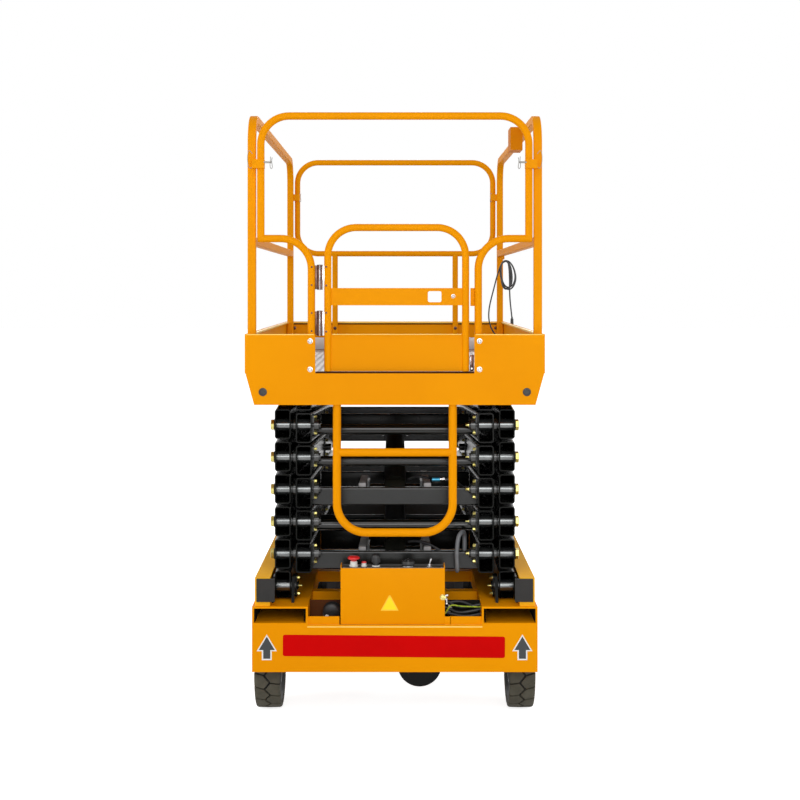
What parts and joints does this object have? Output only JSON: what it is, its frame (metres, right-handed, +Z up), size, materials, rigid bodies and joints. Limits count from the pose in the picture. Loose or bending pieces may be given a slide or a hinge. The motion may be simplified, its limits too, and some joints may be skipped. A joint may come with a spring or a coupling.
{
  "type": "scissor lift",
  "caption": "Wheeled scissor lift: stacked crossed arms raise a railed platform with an entry gate and ladder from a box-beam chassis.",
  "frame": {"origin": "on the ground, under the middle of the machine", "axes": "+Z up, +X to the right seen from the entry gate, -Y towards the entry gate and ladder"},
  "size_m": [1.342, 2.4, 2.6259],
  "materials": {
    "orange_paint": "gloss",
    "black_paint": "satin",
    "grey_paint": "satin",
    "bright_steel": "polished",
    "chromed_steel": "polished",
    "tyre_rubber": "matte",
    "black_plastic": "matte",
    "cable_rubber": "matte"
  },
  "bodies": {
    "chassis": {"side_beams": "orange_paint", "end_plates": "orange_paint", "chassis_cross_members": "orange_paint", "roller_tracks": "orange_paint", "track_caps": "grey_paint", "pivot_brackets": "black_paint", "control_box": "orange_paint", "control_knobs": "black_plastic", "battery_pack": "black_plastic", "power_unit": "black_paint", "drive_axle": "black_paint", "steer_axle": "black_paint"},
    "drive_wheel_left": {"drive_left_tyre": "tyre_rubber", "drive_left_rim": "grey_paint"},
    "drive_wheel_right": {"drive_right_tyre": "tyre_rubber", "drive_right_rim": "grey_paint"},
    "steering_knuckle_left": {"knuckle_left": "black_paint"},
    "steering_knuckle_right": {"knuckle_right": "black_paint"},
    "track_rod": {"tie_rod": "black_paint"},
    "steer_wheel_left": {"steer_left_tyre": "tyre_rubber", "steer_left_rim": "grey_paint"},
    "steer_wheel_right": {"steer_right_tyre": "tyre_rubber", "steer_right_rim": "grey_paint"},
    "outer_frame_1": {"outer_arms_1": "black_paint"},
    "inner_frame_1": {"inner_arms_1": "black_paint", "inner_ties_1": "black_paint"},
    "outer_frame_2": {"outer_arms_2": "black_paint"},
    "inner_frame_2": {"inner_arms_2": "black_paint", "inner_ties_2": "black_paint"},
    "outer_frame_3": {"outer_arms_3": "black_paint"},
    "inner_frame_3": {"inner_arms_3": "black_paint", "inner_ties_3": "black_paint"},
    "outer_frame_4": {"outer_arms_4": "black_paint"},
    "inner_frame_4": {"inner_arms_4": "black_paint", "inner_ties_4": "black_paint"},
    "outer_frame_5": {"outer_arms_5": "black_paint"},
    "inner_frame_5": {"inner_arms_5": "black_paint", "inner_ties_5": "black_paint"},
    "outer_frame_6": {"outer_arms_6": "black_paint"},
    "inner_frame_6": {"inner_arms_6": "black_paint", "inner_ties_6": "black_paint"},
    "cylinder_1_barrel": {"lift_barrel_1": "black_paint"},
    "cylinder_1_rod": {"lift_rod_1": "chromed_steel"},
    "cylinder_2_barrel": {"lift_barrel_2": "black_paint"},
    "cylinder_2_rod": {"lift_rod_2": "chromed_steel"},
    "platform": {"deck": "orange_paint", "platform_sides": "orange_paint", "deck_tracks": "orange_paint", "toe_boards": "orange_paint", "side_rails": "orange_paint", "front_rail": "orange_paint", "rear_rail": "orange_paint", "ladder": "orange_paint", "control_holder": "orange_paint", "cord_gland": "black_plastic", "cord_cable": "cable_rubber", "cord_coil": "cable_rubber", "cord_plug": "black_plastic"},
    "entry_gate": {"gate": "orange_paint", "gate_hinges": "bright_steel"}
  },
  "joints": [
    {"name": "drive_roll_left", "type": "hinge", "parent": "chassis", "child": "drive_wheel_left", "pos_m": [-0.558, -0.84, 0.2], "axis": [1, 0, 0], "continuous": true},
    {"name": "drive_roll_right", "type": "hinge", "parent": "chassis", "child": "drive_wheel_right", "pos_m": [0.558, -0.84, 0.2], "axis": [1, 0, 0], "continuous": true},
    {"name": "steer", "type": "hinge", "parent": "chassis", "child": "steering_knuckle_left", "pos_m": [-0.4335, 0.84, 0.2], "axis": [0, 0, 1], "range_deg": [-30, 30]},
    {"name": "steer_right", "type": "hinge", "parent": "chassis", "child": "steering_knuckle_right", "pos_m": [0.4335, 0.84, 0.2], "axis": [0, 0, 1], "range_deg": [-30, 30]},
    {"name": "track_rod_turn", "type": "hinge", "parent": "steering_knuckle_left", "child": "track_rod", "pos_m": [-0.4335, 0.72, 0.176], "axis": [0, 0, 1], "range_deg": [-30, 30]},
    {"name": "steer_roll_left", "type": "hinge", "parent": "steering_knuckle_left", "child": "steer_wheel_left", "pos_m": [-0.558, 0.84, 0.2], "axis": [1, 0, 0], "continuous": true},
    {"name": "steer_roll_right", "type": "hinge", "parent": "steering_knuckle_right", "child": "steer_wheel_right", "pos_m": [0.558, 0.84, 0.2], "axis": [1, 0, 0], "continuous": true},
    {"name": "lift", "type": "hinge", "parent": "chassis", "child": "outer_frame_1", "pos_m": [0, -1.04, 0.58], "axis": [1, 0, 0], "range_deg": [0, 61.18]},
    {"name": "cross_1", "type": "hinge", "parent": "outer_frame_1", "child": "inner_frame_1", "pos_m": [0, 0.00766, 0.65], "axis": [1, 0, 0], "range_deg": [-122.4, 0.05]},
    {"name": "link_2", "type": "hinge", "parent": "inner_frame_1", "child": "outer_frame_2", "pos_m": [0, -1.04, 0.72], "axis": [1, 0, 0], "range_deg": [-0.05, 122.4]},
    {"name": "cross_2", "type": "hinge", "parent": "outer_frame_2", "child": "inner_frame_2", "pos_m": [0, 0.00766, 0.79], "axis": [1, 0, 0], "range_deg": [-122.4, 0.05]},
    {"name": "link_3", "type": "hinge", "parent": "inner_frame_2", "child": "outer_frame_3", "pos_m": [0, -1.04, 0.86], "axis": [1, 0, 0], "range_deg": [-0.05, 122.4]},
    {"name": "cross_3", "type": "hinge", "parent": "outer_frame_3", "child": "inner_frame_3", "pos_m": [0, 0.00766, 0.93], "axis": [1, 0, 0], "range_deg": [-122.4, 0.05]},
    {"name": "link_4", "type": "hinge", "parent": "inner_frame_3", "child": "outer_frame_4", "pos_m": [0, -1.04, 1], "axis": [1, 0, 0], "range_deg": [-0.05, 122.4]},
    {"name": "cross_4", "type": "hinge", "parent": "outer_frame_4", "child": "inner_frame_4", "pos_m": [0, 0.00766, 1.07], "axis": [1, 0, 0], "range_deg": [-122.4, 0.05]},
    {"name": "link_5", "type": "hinge", "parent": "inner_frame_4", "child": "outer_frame_5", "pos_m": [0, -1.04, 1.14], "axis": [1, 0, 0], "range_deg": [-0.05, 122.4]},
    {"name": "cross_5", "type": "hinge", "parent": "outer_frame_5", "child": "inner_frame_5", "pos_m": [0, 0.00766, 1.21], "axis": [1, 0, 0], "range_deg": [-122.4, 0.05]},
    {"name": "link_6", "type": "hinge", "parent": "inner_frame_5", "child": "outer_frame_6", "pos_m": [0, -1.04, 1.28], "axis": [1, 0, 0], "range_deg": [-0.05, 122.4]},
    {"name": "cross_6", "type": "hinge", "parent": "outer_frame_6", "child": "inner_frame_6", "pos_m": [0, 0.00766, 1.35], "axis": [1, 0, 0], "range_deg": [-122.4, 0.05]},
    {"name": "platform_level", "type": "hinge", "parent": "inner_frame_6", "child": "platform", "pos_m": [0, -1.04, 1.42], "axis": [1, 0, 0], "range_deg": [-0.05, 61.23]},
    {"name": "cylinder_1_swing", "type": "hinge", "parent": "inner_frame_1", "child": "cylinder_1_barrel", "pos_m": [0, -0.84104, 0.69697], "axis": [1, 0, 0], "range_deg": [-0.05, 131.9]},
    {"name": "cylinder_1_extend", "type": "slide", "parent": "cylinder_1_barrel", "child": "cylinder_1_rod", "axis": [0, 0.9986, 0.0538], "range_m": [-0.0005, 0.63163]},
    {"name": "cylinder_2_swing", "type": "hinge", "parent": "inner_frame_3", "child": "cylinder_2_barrel", "pos_m": [0, -0.84104, 0.97697], "axis": [1, 0, 0], "range_deg": [-0.05, 131.9]},
    {"name": "cylinder_2_extend", "type": "slide", "parent": "cylinder_2_barrel", "child": "cylinder_2_rod", "axis": [0, 0.9986, 0.0538], "range_m": [-0.0005, 0.63163]},
    {"name": "gate_swing", "type": "hinge", "parent": "platform", "child": "entry_gate", "pos_m": [-0.32, -1.172, 1.6], "axis": [0, 0, 1], "range_deg": [0, 90]}
  ],
  "couplings": [
    {"joint": "steer_right", "follows": "steer", "ratio": 1},
    {"joint": "track_rod_turn", "follows": "steer", "ratio": -1},
    {"joint": "cross_1", "follows": "lift", "ratio": -2},
    {"joint": "link_2", "follows": "lift", "ratio": 2},
    {"joint": "cross_2", "follows": "lift", "ratio": -2},
    {"joint": "link_3", "follows": "lift", "ratio": 2},
    {"joint": "cross_3", "follows": "lift", "ratio": -2},
    {"joint": "link_4", "follows": "lift", "ratio": 2},
    {"joint": "cross_4", "follows": "lift", "ratio": -2},
    {"joint": "link_5", "follows": "lift", "ratio": 2},
    {"joint": "cross_5", "follows": "lift", "ratio": -2},
    {"joint": "link_6", "follows": "lift", "ratio": 2},
    {"joint": "cross_6", "follows": "lift", "ratio": -2},
    {"joint": "platform_level", "follows": "lift", "ratio": 1},
    {"joint": "cylinder_1_swing", "follows": "lift", "ratio": 2.1553},
    {"joint": "cylinder_1_extend", "follows": "lift", "m_per_rad": 0.59108},
    {"joint": "cylinder_2_swing", "follows": "lift", "ratio": 2.1553},
    {"joint": "cylinder_2_extend", "follows": "lift", "m_per_rad": 0.59108}
  ]
}
